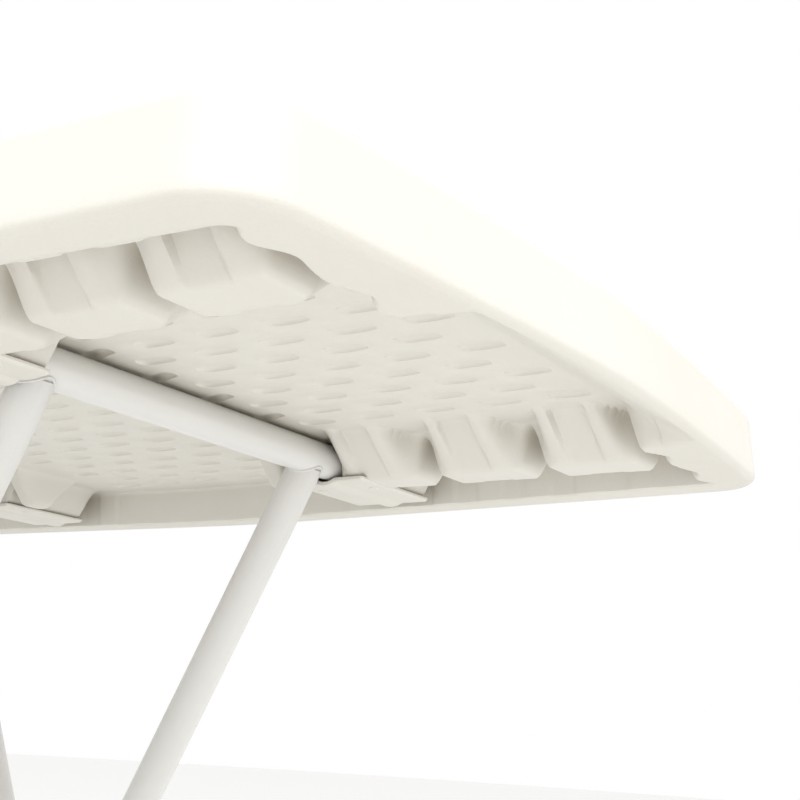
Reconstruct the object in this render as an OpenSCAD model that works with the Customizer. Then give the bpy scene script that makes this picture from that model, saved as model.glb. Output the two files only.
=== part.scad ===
// Portable board on a folding crossed stand.
// Blow-moulded top, two welded tube frames hinged under it, plastic fittings.
// X runs along the board, Y across it, Z up; Z = 0 is the floor.

/* [Board] */
// Length along the centre line
board_length = 1016; // [960:4:1080]
// Length at the corners, before they are rounded
board_corner_length = 976; // [930:4:980]
// Width at the middle of the long sides
board_width = 604; // [590:2:640]
// Width at the ends, before the corners are rounded
board_end_width = 540; // [520:2:560]
// Radius of the four corners
corner_radius = 37; // [20:1:60]
// Thickness of the double wall between the top face and the recess
deck_thickness = 15.4; // [12:0.2:20]
// Depth of the recess under the deck
recess_depth = 30.8; // [30:0.2:36]
// Width of the rim's lower face
rim_width = 26; // [20:1:30]

/* [Side blocks] */
// Distance between neighbouring blocks
block_pitch = 84; // [80:1:84]
// Length of one block along the board
block_length = 58; // [40:1:60]
// Distance from the centre line to a block's foot, at the deck
block_foot_y = 124; // [122:0.5:128]
// Distance from the centre line to a block's lower pad
block_pad_y = 162; // [158:1:168]
// Width of a block's lower pad
block_pad_width = 34; // [24:1:40]

/* [Stand] */
// Outer diameter of every tube
tube_diameter = 25.4; // [24:0.2:26]
// Wall of the tubes
tube_wall = 1.2; // [1:0.1:2]
// Distance from the board's middle to each hinge line
hinge_x = 197; // [190:1:204]
// Depth of the hinge lines below the deck
hinge_depth = 15.4; // [15.2:0.2:16]
// Length of each leg between the tube axes
leg_length = 760; // [700:10:800]
// Lean of the open legs from the floor, in degrees
leg_lean = 62; // [58:1:64]
// Distance from the centre line to the outer frame's legs
outer_leg_y = 124; // [120:1:124]
// Gap between the outer and the inner legs
leg_gap = 5.2; // [5:0.2:6]
// Distance from the board's centre line to the stand's own centre line
stand_offset = 13; // [0:1:14]
// Half length of the cross tubes
cross_tube_half = 208; // [204:1:210]
// Half length of the floor bars
floor_bar_half = 246; // [220:2:260]

/* [Fittings] */
// Outer radius of the hinge bushes
bush_radius = 15; // [14.6:0.1:15]
// Running clearance of the bushes in their pockets
bush_clearance = 0.06; // [0.02:0.01:0.1]
// Outer radius of the foot caps
cap_radius = 16; // [15:0.5:18]
// Height of the floor bars' axis above the floor
foot_axis_height = 15; // [14:0.5:15]
// Radius of the rivets in the crossing clips
rivet_radius = 2.5; // [2:0.1:3]
// Radius of the keeper screws
screw_radius = 2; // [1.5:0.1:2.2]

/* [Hidden] */
$fn = 96;

front = -1;
rear = 1;
right = 1;
left = -1;
eps = 0.01;
cut = 1;

// Heights, from the floor up
tube_radius = tube_diameter / 2;
hinge_z = foot_axis_height + leg_length * sin(leg_lean);
deck_z = hinge_z + hinge_depth;
top_z = deck_z + deck_thickness;
rim_z = deck_z - recess_depth;

// Stand
inner_leg_y = outer_leg_y - tube_diameter - leg_gap;
foot_x = hinge_x - leg_length * cos(leg_lean);
crossing_z = hinge_z - hinge_x * tan(leg_lean);
crossing_reach = hinge_x / cos(leg_lean);

// Hinge pockets: a boss with a slot open downwards, closed by a keeper
boss_half_length = 34;
boss_y = 141;
boss_end_y = 232;
pocket_y = 216;
pocket_radius = bush_radius + bush_clearance;
keeper_flange = 3;
keeper_fit = 0.3;
keeper_y = 143;
keeper_block_height = 8;
screw_x = 24;
screw_y = 172;
screw_depth = 12;
screw_head_radius = 4;
screw_head = 2.2;
bush_y = 178;
bush_wall = 2;

// Foot caps
cap_length = 26;
cap_wall = 3;

// Crossing clips
clip_wall = 3.4;
clip_clearance = 0.3;
clip_length = 26;
clip_boss_radius = 9;
clip_boss_y = inner_leg_y + tube_radius + 0.5;
rivet_head_radius = 5;
rivet_head = 2;
rivet_start_y = clip_boss_y + 1;
rivet_clearance = 0.05;

// Side blocks: three outside each hinge line, and a shallower one inside it
block_first_x = 239;
blocks_outside = 3;
inside_block_x = [131, 158];
inside_block_foot_y = 139;
block_depth = recess_depth - 1;
end_slope_x = 435;
end_slope_half_width = 232;

// Points of an arc that rounds the corner at b, between its neighbours a and c
function rounded_corner(a, b, c, r, steps) =
    let (
        u = (a - b) / norm(a - b),
        v = (c - b) / norm(c - b),
        half = acos(u * v) / 2,
        bisector = (u + v) / norm(u + v),
        centre = b + bisector * r / sin(half),
        reach = r / tan(half),
        from = b + u * reach - centre,
        to = b + v * reach - centre,
        start = atan2(from[1], from[0]),
        turn = atan2(to[1], to[0]) - start,
        sweep = turn > 180 ? turn - 360 : (turn < -180 ? turn + 360 : turn)
    )
    [
        for (i = [0 : steps])
            let (angle = start + sweep * i / steps)
                centre + r * [cos(angle), sin(angle)]
    ];

// Outline of the board, drawn in by inset; both long sides peak at the middle, the ends are bowed
function board_outline(inset) =
    let (
        x = board_corner_length / 2 - inset,
        y = board_end_width / 2 - inset,
        peak = board_width / 2 - inset,
        bow = board_length / 2 - inset,
        r = max(corner_radius - inset, 4),
        corners = [[x, -y], [x, y], [-x, y], [-x, -y]],
        mids = [[bow, 0], [0, peak], [-bow, 0], [0, -peak]]
    )
    [
        for (i = [0 : 3])
            each concat(
                rounded_corner(mids[(i + 3) % 4], corners[i], mids[i], r, 8),
                end_bow(corners[i], mids[i], corners[(i + 1) % 4], i)
            )
    ];

// The middle of a side: one peak on a long side, a shallow bow on an end
function end_bow(a, m, c, i) =
    i % 2 == 1
    ? [m]
    : [for (t = [-0.6 : 0.2 : 0.6]) [m[0] + (a[0] - m[0]) * t * t, (c[1] - a[1]) / 2 * t]];

// Moves its children from the board's centre line to the stand's
module on_stand() {
    translate([0, stand_offset, 0]) children();
}

module along_y(length, radius) {
    rotate([90, 0, 0]) cylinder(h = length, r = radius, center = true);
}

// A cylinder along Y, from y1 to y2
module bar_y(x, z, y1, y2, radius) {
    translate([x, (y1 + y2) / 2, z]) along_y(abs(y2 - y1), radius);
}

// A prism along X with its outline in the YZ plane
module prism_x(x1, x2, points) {
    translate([x1, 0, 0])
        rotate([90, 0, 90])
            linear_extrude(height = x2 - x1) polygon(points);
}

// One moulded side block, its foot at the deck and its pad near the rim's level
module side_block(x1, x2, side, foot_y) {
    outline = [
        [side * foot_y, deck_z + eps],
        [side * block_pad_y, deck_z - block_depth],
        [side * (block_pad_y + block_pad_width), deck_z - block_depth],
        [side * (block_pad_y + block_pad_width + 6), deck_z + eps]
    ];
    prism_x(x1, x2, outline);
}

module side_blocks() {
    for (end = [left, right], side = [front, rear]) {
        for (i = [0 : blocks_outside - 1]) {
            centre = block_first_x + i * block_pitch;
            x1 = end * centre - block_length / 2;
            side_block(x1, x1 + block_length, side, block_foot_y);
        }
        edges = [for (x = inside_block_x) end * x];
        side_block(min(edges), max(edges), side, inside_block_foot_y);
    }
}

// The solid boss that holds one hinge pocket
module hinge_boss(end, side) {
    y = side > 0 ? boss_y : -boss_end_y;
    translate([end * hinge_x - boss_half_length, y, rim_z + keeper_flange])
        cube([2 * boss_half_length, boss_end_y - boss_y, recess_depth - keeper_flange + eps]);
}

// The slot that a bush drops into, and the room under it for its keeper
module hinge_pocket(end, side) {
    seat_half = boss_half_length + keeper_fit;
    seat_y = side > 0 ? keeper_y - keeper_fit : -boss_end_y - keeper_fit;
    translate([end * hinge_x - seat_half, seat_y, rim_z - cut])
        cube([2 * seat_half, boss_end_y - keeper_y + 2 * keeper_fit, keeper_flange + cut]);
    bar_y(end * hinge_x, hinge_z, side * (boss_y - cut), side * pocket_y, pocket_radius);
    y = side > 0 ? boss_y - cut : -pocket_y;
    translate([end * hinge_x - pocket_radius, y, rim_z - cut])
        cube([2 * pocket_radius, pocket_y - boss_y + cut, hinge_z - rim_z + cut]);
    for (x = [-screw_x, screw_x])
        translate([end * hinge_x + x, side * screw_y, rim_z - cut])
            cylinder(h = screw_depth + cut, r = screw_radius);
}

// The outline's inside edge slopes down from the deck to the rim at each end
module end_slope(end) {
    outline = [
        [end_slope_x, deck_z + eps],
        [board_corner_length / 2 - rim_width + 4, deck_z + eps],
        [board_corner_length / 2 - rim_width + 4, rim_z + 2]
    ];
    mirror([end > 0 ? 0 : 1, 0, 0])
        rotate([90, 0, 0])
            translate([0, 0, -end_slope_half_width])
                linear_extrude(height = 2 * end_slope_half_width) polygon(outline);
}

module board_top() {
    color("ivory")
        difference() {
            union() {
                translate([0, 0, deck_z])
                    linear_extrude(height = deck_thickness) polygon(board_outline(0));
                translate([0, 0, rim_z])
                    linear_extrude(height = recess_depth + eps)
                        difference() {
                            polygon(board_outline(0));
                            polygon(board_outline(rim_width));
                        }
                side_blocks();
                for (end = [left, right])
                    end_slope(end);
                on_stand()
                    for (end = [left, right], side = [front, rear])
                        hinge_boss(end, side);
            }
            on_stand()
                for (end = [left, right], side = [front, rear])
                    hinge_pocket(end, side);
        }
}

// Closes one pocket from below: a half-round trough round the bush, with a flange for two screws
module hinge_keeper(end, side) {
    flange_y = side > 0 ? keeper_y : -boss_end_y;
    block_y = side > 0 ? keeper_y : -pocket_y + keeper_fit;
    block_half = pocket_radius - keeper_fit;
    trough_radius = pocket_radius + keeper_flange;
    color("ivory") on_stand()
        difference() {
            union() {
                translate([end * hinge_x - boss_half_length, flange_y, rim_z])
                    cube([2 * boss_half_length, boss_end_y - keeper_y, keeper_flange]);
                translate([end * hinge_x - block_half, block_y, rim_z])
                    cube([2 * block_half, pocket_y - keeper_y - keeper_fit, keeper_block_height]);
                intersection() {
                    bar_y(end * hinge_x, hinge_z, side * keeper_y, side * boss_end_y, trough_radius);
                    translate([end * hinge_x - trough_radius, -boss_end_y, rim_z - trough_radius])
                        cube([2 * trough_radius, 2 * boss_end_y, trough_radius + keeper_flange / 2]);
                }
            }
            bar_y(end * hinge_x, hinge_z, side * (boss_y - cut), side * pocket_y, pocket_radius);
            for (x = [-screw_x, screw_x])
                translate([end * hinge_x + x, side * screw_y, rim_z - cut])
                    cylinder(h = keeper_flange + 2 * cut, r = screw_radius);
        }
}

// Pan-head screws, two in each keeper
module keeper_screws() {
    color("silver") on_stand()
        for (end = [left, right], side = [front, rear], x = [-screw_x, screw_x])
            translate([end * hinge_x + x, side * screw_y, rim_z]) {
                cylinder(h = screw_depth - cut, r = screw_radius);
                translate([0, 0, -screw_head])
                    cylinder(h = screw_head, r = screw_head_radius);
            }
}

// A hollow tube along Y, centred on the board's centre line
module tube_y(x, z, half_length) {
    translate([x, 0, z])
        difference() {
            along_y(2 * half_length, tube_radius);
            along_y(2 * half_length + 2 * cut, tube_radius - tube_wall);
        }
}

// Places its children along a leg: local Z runs from the hinge line to the floor bar
module leg_frame(end, y) {
    translate([end * hinge_x, y, hinge_z])
        rotate([0, 180 + end * (90 - leg_lean), 0])
            children();
}

// One leg, its ends cut to sit on the cross tube and on the floor bar
module leg(end, y) {
    difference() {
        leg_frame(end, y)
            difference() {
                cylinder(h = leg_length, r = tube_radius);
                translate([0, 0, -cut])
                    cylinder(h = leg_length + 2 * cut, r = tube_radius - tube_wall);
            }
        translate([end * hinge_x, 0, hinge_z]) along_y(2 * cross_tube_half, tube_radius);
        translate([end * foot_x, 0, foot_axis_height]) along_y(2 * floor_bar_half, tube_radius);
    }
}

// Outer legs are drilled for the rivet of their crossing clip
module outer_leg(side) {
    color("whitesmoke") on_stand()
        difference() {
            leg(right, side * outer_leg_y);
            bar_y(0, crossing_z, side * clip_boss_y, side * (outer_leg_y + tube_diameter),
                rivet_radius + rivet_clearance);
        }
}

module inner_leg(side) {
    color("whitesmoke") on_stand() leg(left, side * inner_leg_y);
}

module cross_tube(end) {
    color("whitesmoke") on_stand() tube_y(end * hinge_x, hinge_z, cross_tube_half);
}

module floor_bar(end) {
    color("whitesmoke") on_stand() tube_y(end * foot_x, foot_axis_height, floor_bar_half);
}

// A cup on the end of a cross tube, which turns in the board's pocket
module hinge_bush(end, side) {
    color("gainsboro") on_stand()
        difference() {
            bar_y(end * hinge_x, hinge_z, side * bush_y, side * (cross_tube_half + bush_wall), bush_radius);
            bar_y(end * hinge_x, hinge_z, side * (bush_y - cut), side * cross_tube_half, tube_radius);
        }
}

// A cap on the end of a floor bar, flat where it stands on the floor
module foot_cap(end, side) {
    cap_end = floor_bar_half + cap_wall;
    color("gainsboro") on_stand()
        difference() {
            bar_y(end * foot_x, foot_axis_height, side * (cap_end - cap_length), side * cap_end, cap_radius);
            bar_y(end * foot_x, foot_axis_height, side * (cap_end - cap_length - cut),
                side * floor_bar_half, tube_radius);
            translate([end * foot_x, 0, -cap_radius])
                cube([4 * cap_radius, 2 * cap_end + 2 * cut, 2 * cap_radius], center = true);
        }
}

// A cradle on an outer leg: it wraps the near half of the inner leg where the two legs cross
module cross_clip(side) {
    color("gainsboro") on_stand()
        difference() {
            union() {
                leg_frame(left, side * inner_leg_y)
                    translate([0, 0, crossing_reach])
                        half_ring();
                bar_y(0, crossing_z, side * clip_boss_y, side * outer_leg_y, clip_boss_radius);
            }
            leg_frame(right, side * outer_leg_y)
                translate([0, 0, leg_length / 4])
                    cylinder(h = leg_length / 2, r = tube_radius);
            leg_frame(left, side * inner_leg_y)
                translate([0, 0, leg_length / 4])
                    cylinder(h = leg_length / 2, r = tube_radius + clip_clearance);
            bar_y(0, crossing_z, side * rivet_start_y, side * (outer_leg_y + tube_diameter),
                rivet_radius);
        }
}

// Half of a short sleeve round local Z, on its +X side
module half_ring() {
    radius = tube_radius + clip_clearance + clip_wall;
    difference() {
        cylinder(h = clip_length, r = radius, center = true);
        cylinder(h = clip_length + 2 * cut, r = tube_radius + clip_clearance, center = true);
        translate([-radius, 0, 0])
            cube([2 * radius, 4 * radius, 2 * clip_length], center = true);
    }
}

module clip_rivets() {
    color("silver") on_stand()
        for (side = [front, rear]) {
            outside = outer_leg_y + tube_radius;
            bar_y(0, crossing_z, side * rivet_start_y, side * (outside + rivet_head), rivet_radius);
            bar_y(0, crossing_z, side * outside, side * (outside + rivet_head), rivet_head_radius);
        }
}

board_top();
keeper_screws();
hinge_keeper(right, front);  // hinge_keeper_right_front
hinge_keeper(right, rear);  // hinge_keeper_right_rear
hinge_keeper(left, front);  // hinge_keeper_left_front
hinge_keeper(left, rear);  // hinge_keeper_left_rear
cross_tube(right);  // outer_cross_tube
outer_leg(front);  // outer_leg_front
outer_leg(rear);  // outer_leg_rear
floor_bar(right);  // outer_floor_bar
hinge_bush(right, front);  // outer_bush_front
hinge_bush(right, rear);  // outer_bush_rear
foot_cap(right, front);  // outer_foot_cap_front
foot_cap(right, rear);  // outer_foot_cap_rear
cross_clip(front);  // cross_clip_front
cross_clip(rear);  // cross_clip_rear
clip_rivets();
cross_tube(left);  // inner_cross_tube
inner_leg(front);  // inner_leg_front
inner_leg(rear);  // inner_leg_rear
floor_bar(left);  // inner_floor_bar
hinge_bush(left, front);  // inner_bush_front
hinge_bush(left, rear);  // inner_bush_rear
foot_cap(left, front);  // inner_foot_cap_front
foot_cap(left, rear);  // inner_foot_cap_rear
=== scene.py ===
import math
import random

import bmesh
import bpy
import numpy as np
from mathutils import Matrix, Vector

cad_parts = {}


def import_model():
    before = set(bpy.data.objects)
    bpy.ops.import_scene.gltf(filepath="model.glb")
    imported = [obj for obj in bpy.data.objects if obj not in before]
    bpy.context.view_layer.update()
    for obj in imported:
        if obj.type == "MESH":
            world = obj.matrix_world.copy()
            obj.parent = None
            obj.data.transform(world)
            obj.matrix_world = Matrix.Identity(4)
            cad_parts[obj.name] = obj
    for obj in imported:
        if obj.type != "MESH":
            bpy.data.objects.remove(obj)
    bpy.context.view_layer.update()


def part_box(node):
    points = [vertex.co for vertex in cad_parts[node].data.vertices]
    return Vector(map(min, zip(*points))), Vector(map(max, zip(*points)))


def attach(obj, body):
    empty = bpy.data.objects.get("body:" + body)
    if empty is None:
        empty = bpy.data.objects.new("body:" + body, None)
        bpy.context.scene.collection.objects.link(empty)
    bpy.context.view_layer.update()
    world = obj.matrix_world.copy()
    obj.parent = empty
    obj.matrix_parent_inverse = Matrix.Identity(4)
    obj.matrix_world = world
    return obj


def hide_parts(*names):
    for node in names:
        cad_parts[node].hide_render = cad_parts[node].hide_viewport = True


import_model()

MM = 0.001
rng = random.Random(11)

# ---------------------------------------------------------------- sizes, in millimetres
RIM_LOW, TOP_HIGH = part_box("board_top")
TUBE_LOW, TUBE_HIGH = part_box("outer_cross_tube")
HINGE_X = (TUBE_LOW.x + TUBE_HIGH.x) / 2 / MM
HINGE_Z = (TUBE_LOW.z + TUBE_HIGH.z) / 2 / MM
TUBE_R = (TUBE_HIGH.x - TUBE_LOW.x) / 2 / MM
STAND_Y = (TUBE_LOW.y + TUBE_HIGH.y) / 2 / MM   # the stand sits off the board's centre line
TOP_Z = TOP_HIGH.z / MM
RIM_Z = RIM_LOW.z / MM
HINGE_DEPTH = 15.4
DECK_Z = HINGE_Z + HINGE_DEPTH
DEEP = DECK_Z - RIM_Z                      # rim depth below the deck

HALF_LENGTH, HALF_CORNER = 508.0, 488.0
HALF_WIDTH, HALF_END = 302.0, 270.0
CORNER_R = 37.0
KINK_SOFT, KINK_SHIFT = 30.0, 6.0          # the soft corner in the middle of each long side
END_BOW = 1.35                             # power of the bowed ends' curve
SEAM_POWER = 4                             # how fast a side runs into its corner arc
RIM_W = 26.0
WALL_DRAFT = 3.2
TOP_R = 5.0

PITCH_Y, PITCH_X = 26.27, 24.34            # slot rows and half columns
SLOT_HALF_X, SLOT_HALF_Y = 14.35, 6.15
SLOT_DEPTH = 2.6
SLOT_BOWL = ((1.0, 0.05), (0.97, 0.22), (0.92, 0.42), (0.85, 0.60), (0.75, 0.76), (0.62, 0.88),
             (0.45, 0.96), (0.25, 1.0))    # (share of the half size, share of the depth)
SLOT_POINTS = 40                           # points round one bowl
SLOT_POWER_X, SLOT_POWER_Y = 2 / 3, 0.6    # below 1 squares off the oval's corners
END_ROWS = 4                               # rows either side of the centre line
END_COLUMNS = 10                           # half columns across an end field
MID_ROWS = 9
FIRST_SLOT_X = 202.7
END_FIELD = (FIRST_SLOT_X - PITCH_X, 440.0)
MID_X = 5 * PITCH_X
END_Y = (END_ROWS + 0.5) * PITCH_Y
MID_Y = (MID_ROWS + 0.5) * PITCH_Y
INNER_Y = (MID_ROWS - 0.5) * PITCH_Y       # straight grid lines stop here
GRID_X = END_FIELD[1]
GRID_Y_END = 232.0

# Slopes are given as (foot, lip): where the surface leaves the deck and where it is full height.
BLOCKS = (239.0, 323.0, 407.0)             # middles of the fluted blocks, from the board's middle
BLOCK_REACH = 45.0
NOTCH = (41.0, 32.0)                       # the gap between neighbouring pads
CAVITY = (22.0, 31.0)
CAVITY_FOOT, CAVITY_LIP, CAVITY_OUT = 31.0, 5.0, 10.0   # how far a cavity shifts a block's edges
FOOT_Y, PAD_Y, PAD_END, OUTER_FOOT = 124.0, 162.0, 197.0, 225.0
FLUTE_HALF, FLUTE_DEEP, FLUTE_LIP = 12.5, 9.0, 2.0
INSIDE_NEAR, INSIDE_FAR = (131.0, 138.0), (162.0, 154.0)   # the small block's ends along X
INSIDE_INNER, INSIDE_OUTER = (139.0, 164.0), (208.0, 183.0)
BLOCK_ROUND = 0.25
SLOPE_X, SLOPE_END = 446.0, 498.0          # the gentle slope in the middle of an end
WALL_X, WALL_END = 449.0, 459.0            # the steep wall near its corners
WALL_WAVES = ((3.5, 150.0, 44.0), (1.0, 120.0, 29.0))   # height, start and length of each wave
WALL_SHARE = (119.0, 129.0)                # where the slope turns into the wall
BED_SIDE, BED_TIP, BED_HIGH = (14.0, 6.0), (138.0, 130.0), 1.5
BOSS_SIDE, BOSS_INNER, BOSS_OUTER = (43.0, 32.0), (140.5, 144.5), (238.0, 229.0)
BOSS_Y, BOSS_END = 141.0, 232.0
BOSS_HALF = 34.0
POCKET_R, POCKET_START, POCKET_END = 15.06, 133.0, 216.0
KEEPER_Y = 143.0
KEEPER_FLANGE = 3.0
SCREW_X, SCREW_Y = 24.0, 172.0
TUBE_WALL = 1.2
LEG_INSET = 6.0                            # a leg's end stops this far from the axis it meets
BORE_GAP = 0.05                            # between a fitting's bore and its tube


# ---------------------------------------------------------------- materials
DIRTY_TINT = (0.90, 0.88, 0.84)            # shares of the base colour
# painted shade: the shares of the base colour that the recesses are darkened towards
RECESS_SHADE_TINT = (0.62, 0.58, 0.50)
FINE_TINT, WORN_TINT = 0.94, 1.12
CLOUD_SCALE, SPECK_SCALE, SHEEN_SCALE, WAVE_SCALE, PIT_SCALE = 7.0, 420.0, 38.0, 16.0, 900.0
GRAIN_HEIGHT, WAVE_HEIGHT, PIT_HEIGHT = 0.0004, 0.002, 0.0003
WAVE_STRENGTH = 0.12
# painted shade: how far ambient occlusion looks for a recess to darken
RECESS_SHADE_REACH = 0.045
COAT_ROUGHNESS = 0.25


def material(name, colour, rough, rough_spread, bump_scale, bump, grime=0.06, coat=0.0,
             metallic=0.0, edge=0.0, pits=0.0, recess_shade=0.0):
    """A plastic, paint or metal with clouded colour, varied roughness, grain, worn edges and, where
    asked, painted shade that darkens its recesses.
    """
    m = bpy.data.materials.new(name)
    m.use_nodes = True
    nt = m.node_tree
    bsdf = nt.nodes["Principled BSDF"]
    src = nt.nodes.new("ShaderNodeTexCoord").outputs["Object"]

    def noise(scale, detail):
        n = nt.nodes.new("ShaderNodeTexNoise")
        n.inputs["Scale"].default_value = scale
        n.inputs["Detail"].default_value = detail
        n.inputs["Roughness"].default_value = 0.55
        nt.links.new(src, n.inputs["Vector"])
        return n.outputs["Fac"]

    def span(fac, lo, hi, a=0.3, b=0.7):
        r = nt.nodes.new("ShaderNodeMapRange")
        r.inputs["From Min"].default_value = a
        r.inputs["From Max"].default_value = b
        r.inputs["To Min"].default_value = lo
        r.inputs["To Max"].default_value = hi
        nt.links.new(fac, r.inputs["Value"])
        return r.outputs["Result"]

    def mix(fac, a, b):
        x = nt.nodes.new("ShaderNodeMix")
        x.data_type = "RGBA"
        nt.links.new(fac, x.inputs["Factor"])
        for sock, v in ((x.inputs["A"], a), (x.inputs["B"], b)):
            if isinstance(v, tuple):
                sock.default_value = (*v, 1)
            else:
                nt.links.new(v, sock)
        return x.outputs["Result"]

    def relief(height, strength, distance, under=None):
        """A bump on top of the one under it."""
        b = nt.nodes.new("ShaderNodeBump")
        b.inputs["Strength"].default_value = strength
        b.inputs["Distance"].default_value = distance
        nt.links.new(height, b.inputs["Height"])
        if under:
            nt.links.new(under, b.inputs["Normal"])
        return b.outputs["Normal"]

    def tinted(shares):
        return tuple(c * k for c, k in zip(colour, shares))

    base = mix(span(noise(CLOUD_SCALE, 5.0), 0.0, grime * 6), colour, tinted(DIRTY_TINT))
    base = mix(span(noise(SPECK_SCALE, 2.0), 0.0, 0.35, 0.45, 0.8), base, tinted([FINE_TINT] * 3))
    if edge:
        worn = tuple(min(1.0, c) for c in tinted([WORN_TINT] * 3))
        point = nt.nodes.new("ShaderNodeNewGeometry").outputs["Pointiness"]
        base = mix(span(point, 0.0, edge, 0.52, 0.62), base, worn)
    if recess_shade:                               # painted shade: ambient occlusion darkens the colour in the deep recesses
        ao = nt.nodes.new("ShaderNodeAmbientOcclusion")
        ao.samples = 8
        ao.inputs["Distance"].default_value = RECESS_SHADE_REACH
        base = mix(span(ao.outputs["AO"], recess_shade, 0.0, 0.15, 0.75), base, tinted(RECESS_SHADE_TINT))
    nt.links.new(base, bsdf.inputs["Base Color"])
    nt.links.new(span(noise(SHEEN_SCALE, 6.0), rough - rough_spread, rough + rough_spread),
                 bsdf.inputs["Roughness"])
    bsdf.inputs["Metallic"].default_value = metallic
    if coat:
        bsdf.inputs["Coat Weight"].default_value = coat
        bsdf.inputs["Coat Roughness"].default_value = COAT_ROUGHNESS
    last = relief(noise(bump_scale, 3.0), bump, GRAIN_HEIGHT)
    last = relief(noise(WAVE_SCALE, 2.0), WAVE_STRENGTH, WAVE_HEIGHT, last)
    if pits:
        cells = nt.nodes.new("ShaderNodeTexVoronoi")
        cells.inputs["Scale"].default_value = PIT_SCALE
        nt.links.new(src, cells.inputs["Vector"])
        last = relief(cells.outputs["Distance"], pits, PIT_HEIGHT, last)
    nt.links.new(last, bsdf.inputs["Normal"])
    return m


PLASTIC_COLOUR = (0.60, 0.582, 0.535)
# the board's colour is darkened in its recesses as painted shade
BOARD = material("board_plastic", PLASTIC_COLOUR, 0.58, 0.08, 900.0, 0.22, grime=0.05,
                 edge=0.25, pits=0.15, recess_shade=0.75)
KEEPER = material("keeper_plastic", PLASTIC_COLOUR, 0.52, 0.08, 900.0, 0.18, grime=0.05,
                  edge=0.25)
PAINT = material("tube_paint", (0.61, 0.605, 0.585), 0.36, 0.07, 1500.0, 0.10, grime=0.05,
                 coat=0.2)
FITTING = material("fitting_plastic", (0.61, 0.605, 0.58), 0.50, 0.08, 1100.0, 0.16, grime=0.06,
                   edge=0.2)
WHITE_STEEL = material("coated_steel", (0.64, 0.63, 0.59), 0.42, 0.08, 700.0, 0.12, grime=0.06,
                       metallic=0.2)
STEEL = material("fastener_steel", (0.62, 0.62, 0.61), 0.34, 0.10, 700.0, 0.20, grime=0.10,
                 metallic=1.0)


# ---------------------------------------------------------------- mesh helpers
def add_mesh(name, verts, faces, mat, body, replaces, slot, angle=38.0):
    """Makes one visual piece from a mesh in millimetres, attaches it to its body and hides the CAD
    parts it replaces.
    """
    me = bpy.data.meshes.new(name)
    me.from_pydata([tuple(float(c) * MM for c in v) for v in verts], [], faces)
    me.validate()
    bm = bmesh.new()
    bm.from_mesh(me)
    bmesh.ops.recalc_face_normals(bm, faces=bm.faces[:])
    bm.to_mesh(me)
    bm.free()
    me.polygons.foreach_set("use_smooth", [True] * len(me.polygons))
    me.set_sharp_from_angle(angle=math.radians(angle))
    me.materials.append(mat)
    ob = bpy.data.objects.new(name, me)
    bpy.context.scene.collection.objects.link(ob)
    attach(ob, body)
    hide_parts(*replaces)


def rings_mesh(rings, cap_start=True, cap_end=True):
    """Skins a list of equal rings of points."""
    verts, faces = [], []
    n = len(rings[0])
    for r in rings:
        verts += [tuple(p) for p in r]
    for i in range(len(rings) - 1):
        for j in range(n):
            k = (j + 1) % n
            faces.append((i * n + j, i * n + k, (i + 1) * n + k, (i + 1) * n + j))
    if cap_start:
        faces.append(tuple(range(n)))
    if cap_end:
        faces.append(tuple(range((len(rings) - 1) * n, len(rings) * n)))
    return verts, faces


def join(parts):
    """Puts several meshes into one list of points and faces."""
    verts, faces = [], []
    for v, f in parts:
        base = len(verts)
        verts += v
        faces += [tuple(i + base for i in q) for q in f]
    return verts, faces


def lathe(origin, axis, profile, segments=96):
    """Turns (distance along the axis, radius) pairs round an axis."""
    axis = Vector(axis).normalized()
    side = axis.orthogonal().normalized()
    up = axis.cross(side)
    rings = []
    for t, r in profile:
        c = Vector(origin) + axis * t
        rings.append([c + (side * math.cos(a) + up * math.sin(a)) * r
                      for a in (2 * math.pi * i / segments for i in range(segments))])
    return rings_mesh(rings)


def soft(t, w):
    """clamp(t, 0, 1) with its two kinks rounded over a width w."""
    def integral(s):
        return np.where(s < 0, 0.0, np.where(s < 1, s * s / 2, s - 0.5))
    t = np.asarray(t, float)
    return (integral(t + w / 2) - integral(t - w / 2)) / w


# ---------------------------------------------------------------- board: the shape of its underside
def half_y(x):
    """Half width of the board's outline at x, its middle kink softened."""
    k = np.sqrt(x * x + KINK_SOFT ** 2) - KINK_SHIFT
    return HALF_WIDTH - (HALF_WIDTH - HALF_END) * np.clip(k, 0, None) / HALF_CORNER


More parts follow.
